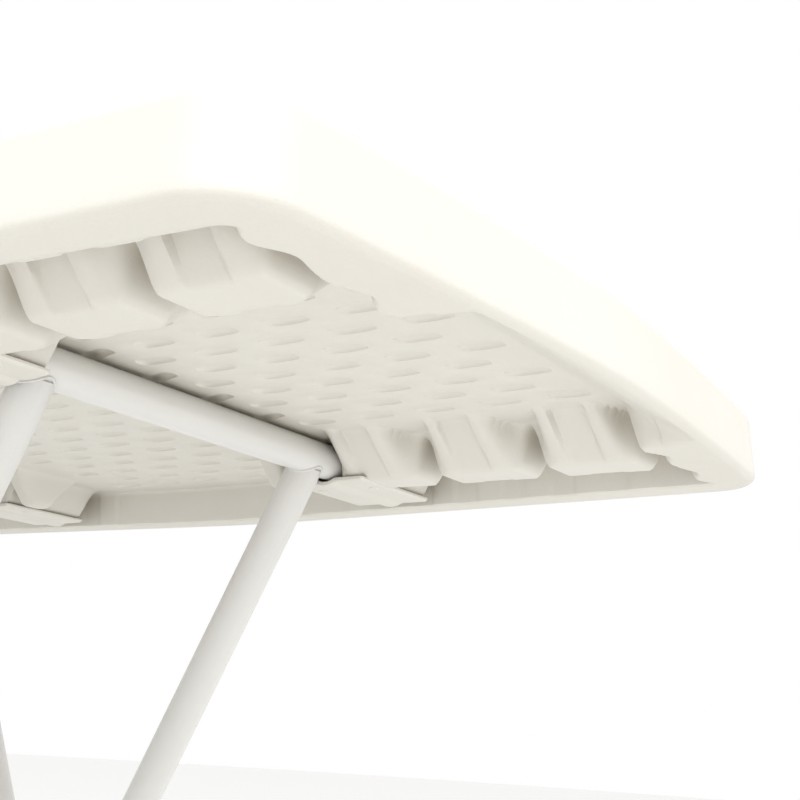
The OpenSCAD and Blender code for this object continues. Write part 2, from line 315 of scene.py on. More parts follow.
def outline(inset, fractions):
    """The board's closed outline, drawn in by inset. fractions are the places of the points:
    along a long side (-1 to 1), down an end (1 to -1) and round a corner (0 to 1)."""
    side_long, side_end, arc = fractions
    x, y = HALF_CORNER - inset, HALF_END - inset
    r = max(CORNER_R - inset, 5.0)
    c = np.array([x, y])
    peak = np.array([0.0, HALF_WIDTH - inset])
    bow = np.array([HALF_LENGTH - inset, 0.0])
    u, v = peak - c, bow - c
    u, v = u / np.linalg.norm(u), v / np.linalg.norm(v)
    half = math.acos(float(u @ v)) / 2
    bis = (u + v) / np.linalg.norm(u + v)
    centre = c + bis * r / math.sin(half)
    reach = r / math.tan(half)
    start, end = c + u * reach, c + v * reach   # the arc's ends, on the long side and on the end
    a0, a1 = start - centre, end - centre
    s0, s1 = math.atan2(a0[1], a0[0]), math.atan2(a1[1], a1[0])
    turns = [s0 + (s1 - s0) * t for t in arc]
    corner = [centre + r * np.array([math.cos(a), math.sin(a)]) for a in turns]
    long_side = []
    for t in side_long:
        px = start[0] * t
        long_side.append(np.array([px, half_y(px) - inset]))
    fix = start[1] - (float(half_y(start[0])) - inset)
    for p in long_side:
        p[1] += fix * (abs(p[0]) / start[0]) ** SEAM_POWER
    end_side = []
    for t in side_end:
        py = end[1] * t
        w = abs(py / y)
        end_side.append(np.array([bow[0] - (bow[0] - x) * w ** END_BOW, py]))
    fix = end[0] - end_side[0][0]
    for p in end_side:
        p[0] += fix * abs(p[1] / end[1]) ** SEAM_POWER

    def turned(points, sx, sy):
        return [np.array([sx * p[0], sy * p[1]]) for p in points]

    ring = long_side + corner + end_side                # far side, then down the right end
    ring += turned(corner[::-1], 1, -1)
    ring += turned(long_side, -1, -1)                   # near side, right to left
    ring += turned(corner, -1, -1)
    ring += turned(end_side, -1, -1)                    # up the left end
    ring += turned(corner[::-1], -1, 1)
    return np.array(ring)


def ramp(a, slope, width):
    """0 at a slope's foot and 1 at its lip, with both kinks rounded."""
    foot, lip = slope
    return soft((a - foot) / (lip - foot), width)


def side_blocks(x, a):
    """Depth of the fluted blocks along the long sides; a is the distance from the middle."""
    ax = np.abs(x)
    q = np.min([np.abs(ax - c) for c in BLOCKS], axis=0)
    pad = ramp(q, NOTCH, 0.7)
    cavity = ramp(q, CAVITY, 0.9)
    flute = ramp(q, (FLUTE_HALF + 1, FLUTE_HALF - 1), 0.8)
    inner = (FOOT_Y + FLUTE_DEEP * flute + CAVITY_FOOT * cavity,
             PAD_Y + FLUTE_LIP * flute + CAVITY_LIP * cavity)
    outer = (OUTER_FOOT - FLUTE_DEEP * flute - CAVITY_OUT * cavity, PAD_END - FLUTE_LIP * flute)
    block = np.minimum(ramp(a, inner, 0.24), ramp(a, outer, BLOCK_ROUND))
    outside = block * pad * (ax > BLOCKS[0] - BLOCK_REACH)
    near = ramp(ax, INSIDE_NEAR, 0.8) * ramp(ax, INSIDE_FAR, 0.8)
    inside = np.minimum(ramp(a, INSIDE_INNER, BLOCK_ROUND), ramp(a, INSIDE_OUTER, BLOCK_ROUND))
    return (DEEP - 1) * np.maximum(outside, inside * near)


def from_hinge(x, y):
    """Distances from the nearer hinge line and from the stand's middle."""
    return np.abs(np.abs(x) - HINGE_X), np.abs(y - STAND_Y)


def housings(x, y):
    """Depth of the bosses that hold the cross tubes' ends."""
    dx, a = from_hinge(x, y)
    along = ramp(a, BOSS_INNER, 0.6) * ramp(a, BOSS_OUTER, 0.6)
    return (DEEP - KEEPER_FLANGE) * ramp(dx, BOSS_SIDE, 0.6) * along


def wall_share(a):
    """0 along the middle of an end, where the deck slopes gently; 1 near the corners."""
    return ramp(a, WALL_SHARE, 0.8)


def end_slopes(x, a):
    """Depth of the slope or waved wall that runs up to each end's rim."""
    ax = np.abs(x)
    gentle = ramp(ax, (SLOPE_X, SLOPE_END), 0.2)
    wave = sum(high * np.sin((a - start) * 2 * math.pi / length)
               for high, start, length in WALL_WAVES)
    steep = ramp(ax - wave, (WALL_X, WALL_END), 0.5)
    share = wall_share(a)
    return DEEP * (gentle * (1 - share) + steep * share)


def bed(x, y):
    """A low moulded bed under each cross tube."""
    dx, a = from_hinge(x, y)
    return BED_HIGH * ramp(dx, BED_SIDE, 0.8) * ramp(a, BED_TIP, 0.8)


def underside(x, y):
    """Depth below the deck, inside the rim."""
    a = np.abs(y)
    depth = np.maximum(side_blocks(x, a), housings(x, y))
    depth = np.maximum(depth, bed(x, y))
    return np.minimum(np.maximum(depth, end_slopes(x, a)), DEEP)


def cut_pocket(x, y, depth):
    """Takes the round pockets for the cross tubes' ends out of the bosses."""
    dx, a = from_hinge(x, y)
    inside = (dx < POCKET_R - 0.01) & (a > POCKET_START) & (a < POCKET_END)
    roof = HINGE_DEPTH - np.sqrt(np.clip(POCKET_R ** 2 - dx * dx, 0, None))
    return np.where(inside, np.minimum(depth, roof), depth)


# ---------------------------------------------------------------- board: its mesh
GRID_STEP_X, GRID_STEP_Y = 2.2, 1.8
POCKET_EDGE = 0.06                         # a pocket's wall is as steep as this narrow step allows
TAIL_STEPS = 9                             # rows that fan out from INNER_Y to the field's edge
SAME_LINE, ON_LINE, CROWDED = 0.03, 0.02, 0.7
CORNER_WRAP = 5                            # points of a side's end that wrap round a corner arc
FIELD_INSET, FIELD_STEPS = 34.0, 10        # where the grid's edge has blended into the outline
RIM_INSETS = (33.0, 32.0, 31.2, 30.4, 29.6, 28.8, 28.0, 27.3, 26.6, 26.0, 25.3, 24.5, 23.6, 22.6,
              21.0, 17.0, 12.0, 8.0, 5.0, 3.8, 2.8, 1.9, 1.2, 0.6, 0.2, 0.0)
TOP_INSETS = (10.0, 14.0, 24.0, 34.0)
WALL_STEPS, EDGE_STEPS = 7, 6
RIM_FOOT = 31.0                            # where the rim's inner wall starts
RIM_INNER, RIM_INNER_LIFT = 4.0, 2.2       # its rounded inner edge
RIM_OUTER, RIM_OUTER_LIFT = 5.0, 4.94      # its rounded outer edge
SQUARE_PITCH, SQUARE_DEEP = 43.0, 1.5      # square flutes in the rim's inner wall
SQUARE_EDGE = (0.28, 0.245)                # shares of the pitch
SQUARE_Y, SQUARE_X = 225.0, 430.0
SQUARE_FROM, SQUARE_TO = 24.0, 33.0
RIM_OUTSIDE = 6.0                          # the end slopes never reach this outermost strip


def lines_between(lo, hi, step):
    n = max(1, round((hi - lo) / step))
    return [lo + (hi - lo) * i / n for i in range(n + 1)]


def clean(values, keep):
    """Drops the lines that crowd a neighbour, but none of those in keep."""
    def kept(v):
        return any(abs(v - k) < ON_LINE for k in keep)

    values = sorted(values)
    out = [values[0]]
    for v in values[1:]:
        gap = v - out[-1]
        if gap < SAME_LINE:
            continue
        if gap >= CROWDED or kept(out[-1]):
            out.append(v)
        elif kept(v):
            out[-1] = v
    return out


def row_y(kind, v, x):
    """y of a grid row at x: straight rows in the middle, fanned rows beyond INNER_Y."""
    if kind == "straight":
        return v
    edge = MID_Y + (GRID_Y_END - MID_Y) * max(0.0, abs(x) - MID_X) / (GRID_X - MID_X)
    return math.copysign(INNER_Y + abs(v) * (edge - INNER_Y), v)


def board_grid():
    """The grid of the underside: its columns, its rows and its points with their depths."""
    pocket_lines = [HINGE_X - POCKET_R, HINGE_X - POCKET_R + POCKET_EDGE,
                    HINGE_X + POCKET_R, HINGE_X + POCKET_R - POCKET_EDGE]
    xs = set(lines_between(-MID_X, MID_X, PITCH_X / 2))
    ys = set(lines_between(-END_Y, END_Y, PITCH_Y / 2))
    for side in (1, -1):
        xs |= {side * v for v in lines_between(MID_X, GRID_X, GRID_STEP_X)}
        xs |= {side * v for v in [END_FIELD[0]] + pocket_lines}
        for c in BLOCKS:
            xs |= {side * (c + s * (FLUTE_HALF + d)) for s in (1, -1) for d in (-1, 0, 1)}
        ys |= {side * v for v in lines_between(END_Y, INNER_Y, GRID_STEP_Y)}
        ys |= {STAND_Y + side * v for v in (BOSS_Y - 1.5, BOSS_Y, BOSS_Y + 1.5)}
    keep_x = [side * v for side in (1, -1) for v in [MID_X, *END_FIELD] + pocket_lines]
    keep_y = [side * v for side in (1, -1) for v in (END_Y, INNER_Y)]
    xs, ys = clean(xs, keep_x), clean(ys, keep_y)
    tail = [i / TAIL_STEPS for i in range(1, TAIL_STEPS + 1)]
    rows = [("fanned", -t) for t in tail[::-1]] + [("straight", v) for v in ys]
    rows += [("fanned", t) for t in tail]
    X = np.array([xs for _ in rows])
    Y = np.array([[row_y(kind, v, x) for x in xs] for kind, v in rows])
    return xs, rows, X, Y, cut_pocket(X, Y, underside(X, Y))


def wall_shift(P):
    """Shallow square flutes in the rim's inner wall along the long sides."""
    t = np.abs((P[:, 0] / SQUARE_PITCH) % 1.0 - 0.5)
    on_side = (np.abs(P[:, 1]) > SQUARE_Y) & (np.abs(P[:, 0]) < SQUARE_X)
    return np.where(on_side, SQUARE_DEEP * ramp(t, SQUARE_EDGE, 0.8), 0.0)


def rim_depth(d):
    """The rim's own depth at a distance d from the outline."""
    if d >= RIM_W:
        return DEEP * ramp(d, (RIM_FOOT, RIM_W), 0.3)
    if d > RIM_W - RIM_INNER:
        q = (d - (RIM_W - RIM_INNER)) / RIM_INNER
        return DEEP - RIM_INNER_LIFT * q * q
    if d < RIM_OUTER:
        q = (RIM_OUTER - d) / RIM_OUTER
        return DEEP - RIM_OUTER_LIFT * (1 - math.sqrt(max(0.0, 1 - q * q)))
    return DEEP


def board_mesh():
    """The board without its dimple fields: underside, rim, outer wall and top."""
    xs, rows, X, Y, D = board_grid()
    nr, nc = X.shape
    verts = [(X[i, j], Y[i, j], DECK_Z - D[i, j]) for i in range(nr) for j in range(nc)]
    faces = []
    end_lo, end_hi = END_FIELD
    for i in range(nr - 1):
        cy = (Y[i, 0] + Y[i + 1, 0]) / 2
        in_end = abs(cy) < END_Y and rows[i][0] == rows[i + 1][0] == "straight"
        for j in range(nc - 1):
            cx = (xs[j] + xs[j + 1]) / 2
            if abs(cx) < MID_X or (in_end and end_lo < abs(cx) < end_hi):
                continue
            faces.append((i * nc + j, i * nc + j + 1, (i + 1) * nc + j + 1, (i + 1) * nc + j))
    # the grid's boundary, from near its top left corner round by the right, bottom and left
    top = [(nr - 1) * nc + j for j in range(nc)]
    right = [i * nc + nc - 1 for i in range(nr - 1, -1, -1)]
    bottom = list(range(nc - 1, -1, -1))
    left = [i * nc for i in range(nr)]
    wrap = CORNER_WRAP
    prev = top[wrap:] + right[1:] + bottom[1:] + left[1:] + top[1:wrap]
    n = len(prev)
    arc = [(k + 1) / (2 * wrap) for k in range(2 * wrap - 1)]
    span_long = xs[wrap:nc - wrap]
    longest = max(abs(span_long[0]), abs(span_long[-1]))
    span_end = [Y[i, -1] for i in range(nr - 1 - wrap, wrap - 1, -1)]
    tallest = max(abs(span_end[0]), abs(span_end[-1]))
    places = ([v / longest for v in span_long], [v / tallest for v in span_end], arc)
    base = np.array([verts[k][:2] for k in prev])

    def add_ring(P, Z):
        nonlocal prev
        start = len(verts)
        verts.extend((P[k, 0], P[k, 1], Z[k]) for k in range(n))
        ring = list(range(start, start + n))
        for k in range(n):
            m = (k + 1) % n
            faces.append((prev[k], prev[m], ring[m], ring[k]))
        prev = ring

    field = outline(FIELD_INSET, places)
    for i in range(1, FIELD_STEPS + 1):
        t = i / FIELD_STEPS
        P = base * (1 - t) + field * t
        add_ring(P, DECK_Z - underside(P[:, 0], P[:, 1]))
    for d in RIM_INSETS:
        P = outline(d, places)
        depth = np.full(n, rim_depth(d))
        if SQUARE_FROM < d < SQUARE_TO:
            P[:, 1] -= np.sign(P[:, 1]) * wall_shift(P)
        if d > RIM_OUTSIDE:                # the middle of each end follows the end slope
            ax, ay = np.abs(P[:, 0]), np.abs(P[:, 1])
            under = underside(P[:, 0], P[:, 1])
            at_end = (ax > SLOPE_X - 5) & (ay < GRID_Y_END)
            share = wall_share(ay)
            rim = np.maximum(depth, under)
            depth = np.where(at_end, under * (1 - share) + rim * share, rim)
        add_ring(P, DECK_Z - depth)
    low = DECK_Z - rim_depth(0.0)
    wall = TOP_Z - TOP_R - low
    for k in range(1, WALL_STEPS + 1):
        t = k / WALL_STEPS
        add_ring(outline(WALL_DRAFT * t, places), np.full(n, low + wall * t))
    for k in range(1, EDGE_STEPS + 1):
        a = math.pi / 2 * k / EDGE_STEPS
        add_ring(outline(WALL_DRAFT + TOP_R * (1 - math.cos(a)), places),
                 np.full(n, TOP_Z - TOP_R + TOP_R * math.sin(a)))
    for d in TOP_INSETS:
        add_ring(outline(d, places), np.full(n, TOP_Z))
    faces.append(tuple(prev))
    return verts, faces


def stadium(cx, cy, hx, hy):
    """A flattened oval between a stadium and a rounded rectangle."""
    out = []
    for i in range(SLOT_POINTS):
        a = 2 * math.pi * i / SLOT_POINTS
        c, s = math.cos(a), math.sin(a)
        out.append((cx + hx * math.copysign(abs(c) ** SLOT_POWER_X, c),
                    cy + hy * math.copysign(abs(s) ** SLOT_POWER_Y, s)))
    return out


def slot_cell(x0, x1, y0, y1, cx, cy, between=1):
    """A flat cell of the deck with one oblong bowl moulded up into it."""
    def stretch(step, centre, low, high):
        """How far a step from the centre can be stretched before it leaves low to high."""
        if abs(step) < 1e-9:
            return math.inf
        return ((high if step > 0 else low) - centre) / step

    outer = []
    for px, py in stadium(cx, cy, SLOT_HALF_X, SLOT_HALF_Y):
        dx, dy = px - cx, py - cy
        t = min(stretch(dx, cx, x0, x1), stretch(dy, cy, y0, y1))
        outer.append((cx + dx * t, cy + dy * t))
    for corner in ((x1, y1), (x0, y1), (x0, y0), (x1, y0)):
        nearest = min(range(SLOT_POINTS), key=lambda i: (outer[i][0] - corner[0]) ** 2
                      + (outer[i][1] - corner[1]) ** 2)
        outer[nearest] = corner
    edge = stadium(cx, cy, SLOT_HALF_X * 1.03, SLOT_HALF_Y * 1.06)
    rings = []
    for i in range(between):
        t = i / between
        rings.append([(p[0] * (1 - t) + q[0] * t, p[1] * (1 - t) + q[1] * t, DECK_Z)
                      for p, q in zip(outer, edge)])
    rings.append([(p[0], p[1], DECK_Z) for p in edge])
    for scale, depth in SLOT_BOWL:
        ring = stadium(cx, cy, SLOT_HALF_X * scale, SLOT_HALF_Y * scale)
        rings.append([(p[0], p[1], DECK_Z + SLOT_DEPTH * depth) for p in ring])
    rings = [[(x, y, z - float(bed(x, y))) for x, y, z in ring] for ring in rings]
    return rings_mesh(rings, cap_start=False)


def plain_cell(x0, x1, y0, y1):
    """A flat cell of the deck, in smaller faces where it crosses a tube's bed."""
    nx = max(1, round((x1 - x0) / 2.0)) if near_tube(x0, x1) else 1
    ny = max(1, round((y1 - y0) / 6.0)) if near_tube(x0, x1) else 1
    pts = [(x0 + (x1 - x0) * i / nx, y0 + (y1 - y0) * j / ny)
           for j in range(ny + 1) for i in range(nx + 1)]
    verts = [(x, y, DECK_Z - float(bed(x, y))) for x, y in pts]
    w = nx + 1
    return verts, [(j * w + i, j * w + i + 1, (j + 1) * w + i + 1, (j + 1) * w + i)
                   for j in range(ny) for i in range(nx)]


def near_tube(x0, x1):
    near, far = sorted((abs(x0), abs(x1)))
    return near < HINGE_X + BED_SIDE[0] and far > HINGE_X - BED_SIDE[0]


def slot_fields():
    """The three flat fields of staggered dimples: one at each end and one in the middle."""
    parts = []
    for side in (1, -1):
        lo, hi = END_FIELD
        for row in range(-END_ROWS, END_ROWS + 1):
            y = row * PITCH_Y
            y0, y1 = y - PITCH_Y / 2, y + PITCH_Y / 2
            edge = lo
            for u in range(1 - row % 2, END_COLUMNS, 2):
                c = FIRST_SLOT_X + PITCH_X * u
                x0, x1 = c - PITCH_X, min(c + PITCH_X, hi)
                if x0 > edge + 0.01:
                    parts.append(plain_cell(*sorted((side * edge, side * x0)), y0, y1))
                rings = 8 if near_tube(x0, x1) else 1
                parts.append(slot_cell(*sorted((side * x0, side * x1)), y0, y1, side * c, y, rings))
                edge = x1
            if edge < hi - 0.01:
                parts.append(plain_cell(*sorted((side * edge, side * hi)), y0, y1))
    for row in range(-MID_ROWS, MID_ROWS + 1):
        y = row * PITCH_Y
        y0, y1 = y - PITCH_Y / 2, y + PITCH_Y / 2
        if row % 2:
            centres = [k * 2 * PITCH_X for k in range(-2, 3)]
        else:
            centres = [(k + 0.5) * 2 * PITCH_X for k in range(-2, 2)]
        edge = -MID_X
        for c in centres:
            if c - PITCH_X > edge + 0.01:
                parts.append(plain_cell(edge, c - PITCH_X, y0, y1))
            parts.append(slot_cell(c - PITCH_X, c + PITCH_X, y0, y1, c, y))
            edge = c + PITCH_X
        if edge < MID_X - 0.01:
            parts.append(plain_cell(edge, MID_X, y0, y1))
    return join(parts)


board_parts = join([board_mesh(), slot_fields()])
add_mesh("moulded_board", *board_parts, BOARD, "board", ["board_top"], "board_plastic",
         angle=42.0)


# ---------------------------------------------------------------- keepers
KEEPER_ACROSS, KEEPER_ROUND = 40, 24       # steps across the underside and round the trough
KEEPER_EDGE, KEEPER_EDGE_LIFT = 0.93, 1.6  # the underside turns up beyond this share of its width
KEEPER_ENDS = ((KEEPER_Y, 1.8), (KEEPER_Y + 0.4, 0.9), (KEEPER_Y + 1.2, 0.3), (KEEPER_Y + 2.4, 0.0),
               (KEEPER_Y + 30, 0.0), (BOSS_END - 3, 0.0), (BOSS_END - 1.2, 0.4),
               (BOSS_END - 0.3, 1.2), (BOSS_END, 2.0))   # (place along the tube, pull)


def trough(x, radius):
    """Height of the lower half of a round of this radius about the hinge line."""
    return HINGE_Z - math.sqrt(max(radius ** 2 - x * x, 0.0))


def keeper_section(cx, y, pull):
    """One closed section across a keeper; pull narrows it and lifts its underside."""
    outer_r = POCKET_R + KEEPER_FLANGE
    half = BOSS_HALF - pull
    top = RIM_Z + KEEPER_FLANGE
    pts = []
    for i in range(KEEPER_ACROSS + 1):
        x = -half + 2 * half * i / KEEPER_ACROSS
        z = RIM_Z + pull * 0.5
        edge = abs(x) / half
        if edge > KEEPER_EDGE:
            z += KEEPER_EDGE_LIFT * ((edge - KEEPER_EDGE) / (1 - KEEPER_EDGE)) ** 2
        if abs(x) < outer_r:
            z = min(z, trough(x, outer_r) + pull * 0.6)
        pts.append((cx + x, y, z))
    pts.append((cx + half, y, top))
    for i in range(KEEPER_ROUND + 1):
        x = POCKET_R * math.cos(math.pi * i / KEEPER_ROUND)
        pts.append((cx + x, y, min(trough(x, POCKET_R), top)))
    pts.append((cx - half, y, top))
    return pts


def keeper(end, side):
    """A rounded trough under the tube's end, with a flat flange for its screws."""
    return rings_mesh([keeper_section(end * HINGE_X, STAND_Y + side * y, pull)
                       for y, pull in KEEPER_ENDS])


for end, word in ((1, "right"), (-1, "left")):
    for side, where in ((-1, "front"), (1, "rear")):
        add_mesh(f"moulded_keeper_{word}_{where}", *keeper(end, side), KEEPER, "board",
                 [f"hinge_keeper_{word}_{where}"], "keeper_plastic", angle=40.0)


# ---------------------------------------------------------------- screws
PAN_PROFILE = ((0.15, 1.0), (0.35, 1.0), (0.5, 0.99), (0.62, 0.97), (0.75, 0.92), (0.86, 0.8),
               (0.94, 0.6), (0.985, 0.35), (1.0, 0.1), (1.0, 0.0))
HEAD_R, HEAD_HIGH, HEAD_POINTS = 3.6, 0.9, 48
CROSS_REACH, CROSS_HALF_WIDTH, CROSS_SINK = 0.62, 0.14, 0.55   # shares of the head's size
SHANK = ((0, 2.0), (10.2, 2.0), (11.0, 1.2))


def screw_head(cx, cy, z, turn):
    """A pan head seen from below, with a cross recess."""
    rings = []
    for f, h in PAN_PROFILE:
        ring = []
        for i in range(HEAD_POINTS):
            a = 2 * math.pi * i / HEAD_POINTS
            dx, dy = f * math.cos(a), f * math.sin(a)
            u = abs(dx * math.cos(turn) + dy * math.sin(turn))
            v = abs(dy * math.cos(turn) - dx * math.sin(turn))
            in_cross = min(u, v) < CROSS_HALF_WIDTH and max(u, v) < CROSS_REACH and f < CROSS_REACH
            sink = HEAD_HIGH * CROSS_SINK * (1 - f / CROSS_REACH * 0.7) if in_cross else 0.0
            ring.append((cx + HEAD_R * dx, cy + HEAD_R * dy, z - HEAD_HIGH * h + sink))
        rings.append(ring)
    return rings_mesh(rings)


screws = []
for end in (1, -1):
    for side in (-1, 1):
        for dx in (-SCREW_X, SCREW_X):
            x, y = end * HINGE_X + dx, STAND_Y + side * SCREW_Y
            screws.append(screw_head(x, y, RIM_Z, rng.uniform(0, math.pi)))
            screws.append(lathe((x, y, RIM_Z), (0, 0, 1), SHANK, 32))
add_mesh("pan_head_screws", *join(screws), WHITE_STEEL, "board", ["keeper_screws"],
         "fastener_steel", angle=30.0)


# ---------------------------------------------------------------- tube frames
CUT_EDGE = 0.3                             # rounding of a tube's cut ends
BORE_DEPTH, SHORT_TUBE = 40.0, 80.0        # the bore is drawn this far in from each end
SMOOTH_STEP = 25.0
WELD_POINTS, WELD_AROUND, WELD_RIPPLES = 240, 14, 5
WELD_STANDOFF = 3.0
HINGE_BEAD, FLOOR_BEAD = 0.8, 0.9


def tube(p, q, segments=128):
    """A hollow tube with slightly rounded cut ends."""
    p, q = Vector(p), Vector(q)
    axis = (q - p).normalized()
    length = (q - p).length
    r, e, bore = TUBE_R, CUT_EDGE, TUBE_R - TUBE_WALL
    steps = max(2, int(length / SMOOTH_STEP))
    deep = BORE_DEPTH if length > SHORT_TUBE else length / 2
    profile = [(0.0, bore), (0.0, r - e), (e * 0.4, r - e * 0.3), (e, r)]
    profile += [(e + (length - 2 * e) * i / steps, r) for i in range(1, steps)]
    profile += [(length - e, r), (length - e * 0.4, r - e * 0.3), (length, r - e)]
    profile += [(length, bore), (length - deep, bore), (deep, bore)]
    side = axis.orthogonal().normalized()
    up = axis.cross(side)
    rings = [[p + axis * t + (side * math.cos(a) + up * math.sin(a)) * radius
              for a in (2 * math.pi * i / segments for i in range(segments))]
             for t, radius in profile]
    verts, faces = rings_mesh(rings, False, False)
    n, last = segments, len(profile) - 1
    for j in range(n):
        k = (j + 1) % n
        faces.append((last * n + j, last * n + k, k, j))
    return verts, faces


def saddle_weld(centre, direction, bead):
    """A rippled weld bead along the line where a leg meets a cross tube of the same size."""
    u = Vector(direction).normalized()
    y = Vector((0, 1, 0))
    e = u.cross(y).normalized()
    c = Vector(centre)
    path = []
    for i in range(WELD_POINTS):
        a = 2 * math.pi * i / WELD_POINTS
        reach = math.sqrt((TUBE_R * math.sin(a)) ** 2 + WELD_STANDOFF ** 2)
        path.append(c + u * reach + (e * math.cos(a) + y * math.sin(a)) * (TUBE_R + 0.1))
    rings = []
    for i in range(WELD_POINTS):
        t = (path[(i + 1) % WELD_POINTS] - path[i - 1]).normalized()
        out = (path[i] - c - u * (path[i] - c).dot(u)).normalized()
        n = (out - t * out.dot(t)).normalized()
        b = t.cross(n)
        ripple = 1 + 0.10 * math.sin(i * 2 * math.pi / WELD_RIPPLES) + 0.05 * rng.uniform(-1, 1)
        size = bead * ripple * (1 + 0.08 * math.sin(i * 0.11))
        rings.append([path[i] + (n * math.cos(a) * 0.8 + b * math.sin(a)) * size
                      for a in (2 * math.pi * k / WELD_AROUND for k in range(WELD_AROUND))])
    rings.append(rings[0])
    return rings_mesh(rings, False, False)


def middle(node, axis):
    """The middle of a CAD node's box along one axis, in millimetres."""
    lo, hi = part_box(node)
    return (lo[axis] + hi[axis]) / 2 / MM


def leg_line(prefix):
    """A frame's leg line, read from its CAD nodes: (x, z) at the hinge, (x, z) at the floor bar
    and the legs' distance from the stand's middle."""
    hinge, bar = f"{prefix}_cross_tube", f"{prefix}_floor_bar"
    return (middle(hinge, 0), middle(hinge, 2), middle(bar, 0), middle(bar, 2),
            middle(f"{prefix}_leg_rear", 1) - STAND_Y)


def cross_bar(prefix, part, x, z):
    """A tube that runs across the stand, as long as its CAD node."""
    lo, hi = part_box(f"{prefix}_{part}")
    half = (hi.y - lo.y) / 2 / MM
    add_mesh(f"{prefix}_{part}_drawn", *tube((x, STAND_Y - half, z), (x, STAND_Y + half, z)),
             PAINT, f"{prefix}_frame", [f"{prefix}_{part}"], "tube_paint")


FRAMES = {prefix: leg_line(prefix) for prefix in ("outer", "inner")}
for prefix, (hx, hz, fx, fz, leg_y) in FRAMES.items():
    cross_bar(prefix, "cross_tube", hx, hz)
    cross_bar(prefix, "floor_bar", fx, fz)
    direction = Vector((fx - hx, 0, fz - hz)).normalized()
    for side, where in ((-1, "front"), (1, "rear")):
        y = STAND_Y + side * leg_y
        start = Vector((hx, y, hz)) + direction * LEG_INSET
        stop = Vector((fx, y, fz)) - direction * LEG_INSET
        parts = [tube(start, stop),
                 saddle_weld((hx, y, hz), direction, HINGE_BEAD),
                 saddle_weld((fx, y, fz), -direction, FLOOR_BEAD)]
        add_mesh(f"{prefix}_leg_{where}_drawn", *join(parts), PAINT, f"{prefix}_frame",
                 [f"{prefix}_leg_{where}"], "tube_paint", angle=50.0)


# ---------------------------------------------------------------- bushes and foot caps
RIB_FIRST, RIB_PITCH, RIB_COUNT = 4.0, 4.5, 3
RIB_HIGH = 0.6
CAP_ROUND, CAP_STEPS = 4.0, 8


def bush(x, z, side):
    """A plain sleeve on a cross tube's end, with broken edges."""
    lo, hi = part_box("outer_bush_rear")
    y0, y1 = lo.y / MM - STAND_Y, hi.y / MM - STAND_Y
    radius = (hi.z - lo.z) / 2 / MM
    profile = [(0.0, TUBE_R + BORE_GAP), (0.0, radius - 0.5), (0.5, radius)]
    profile += [(y1 - y0 - 1.0, radius), (y1 - y0 - 0.3, radius - 0.3), (y1 - y0, radius - 1.0)]
    return lathe((x, STAND_Y + side * y0, z), (0, side, 0), profile)


def foot_cap(x, z, side):
    """A ribbed cap over a floor bar's end, flat where it stands on the floor."""
    lo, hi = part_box("outer_foot_cap_rear")
    y0, y1 = lo.y / MM - STAND_Y, hi.y / MM - STAND_Y
    radius = (hi.x - lo.x) / 2 / MM
    plain = radius - RIB_HIGH
    length = y1 - y0
    profile = [(0.0, TUBE_R + BORE_GAP), (0.0, radius - 1.6), (0.35, radius - 0.9), (1.0, plain)]
    for k in range(RIB_COUNT):
        y = RIB_FIRST + RIB_PITCH * k
        profile += [(y, plain), (y + 0.5, radius), (y + 2.6, radius), (y + 3.1, plain)]
    profile += [(length - 6.5, plain), (length - 6, radius)]
    for i in range(1, CAP_STEPS + 1):
        a = math.pi / 2 * i / CAP_STEPS
        profile.append((length - CAP_ROUND + CAP_ROUND * math.sin(a),
                        radius - CAP_ROUND + CAP_ROUND * math.cos(a)))
    verts, faces = lathe((x, STAND_Y + side * y0, z), (0, side, 0), profile, 128)
    return [(v[0], v[1], max(v[2], 0.0)) for v in verts], faces


for prefix, (hx, hz, fx, fz, _) in FRAMES.items():
    for side, where in ((-1, "front"), (1, "rear")):
        add_mesh(f"{prefix}_bush_{where}_drawn", *bush(hx, hz, side), FITTING,
                 f"{prefix}_frame", [f"{prefix}_bush_{where}"], "fitting_plastic")
        add_mesh(f"{prefix}_foot_cap_{where}_drawn", *foot_cap(fx, fz, side), FITTING,
                 f"{prefix}_frame", [f"{prefix}_foot_cap_{where}"], "fitting_plastic", angle=32.0)


# ---------------------------------------------------------------- crossing clips and rivets
hx, hz, fx, fz, OUTER_LEG_Y = FRAMES["outer"]
CROSS_Z = hz + (fz - hz) * hx / (hx - fx)
hx, hz, fx, fz, INNER_LEG_Y = FRAMES["inner"]
INNER_DIR = Vector((fx - hx, 0, fz - hz)).normalized()
CLIP_IN, CLIP_OUT = TUBE_R + 0.3, TUBE_R + 3.7
CLIP_ENDS = ((-13.0, 1.1), (-12.5, 0.4), (-11.6, 0.0), (-4.0, 0.0), (4.0, 0.0), (11.6, 0.0),
             (12.5, 0.4), (13.0, 1.1))     # (place along the leg, how much the wall thins)
CLIP_STEPS, LIP_STEPS = 32, 8
SEAT_GAP, SEAT_BITE = 0.5, 5.0
RIVET_R, RIVET_HIGH, RIVET_SHANK_R = 5.0, 2.0, 2.5
RIVET_SINK, RIVET_START = 0.6, 1.5


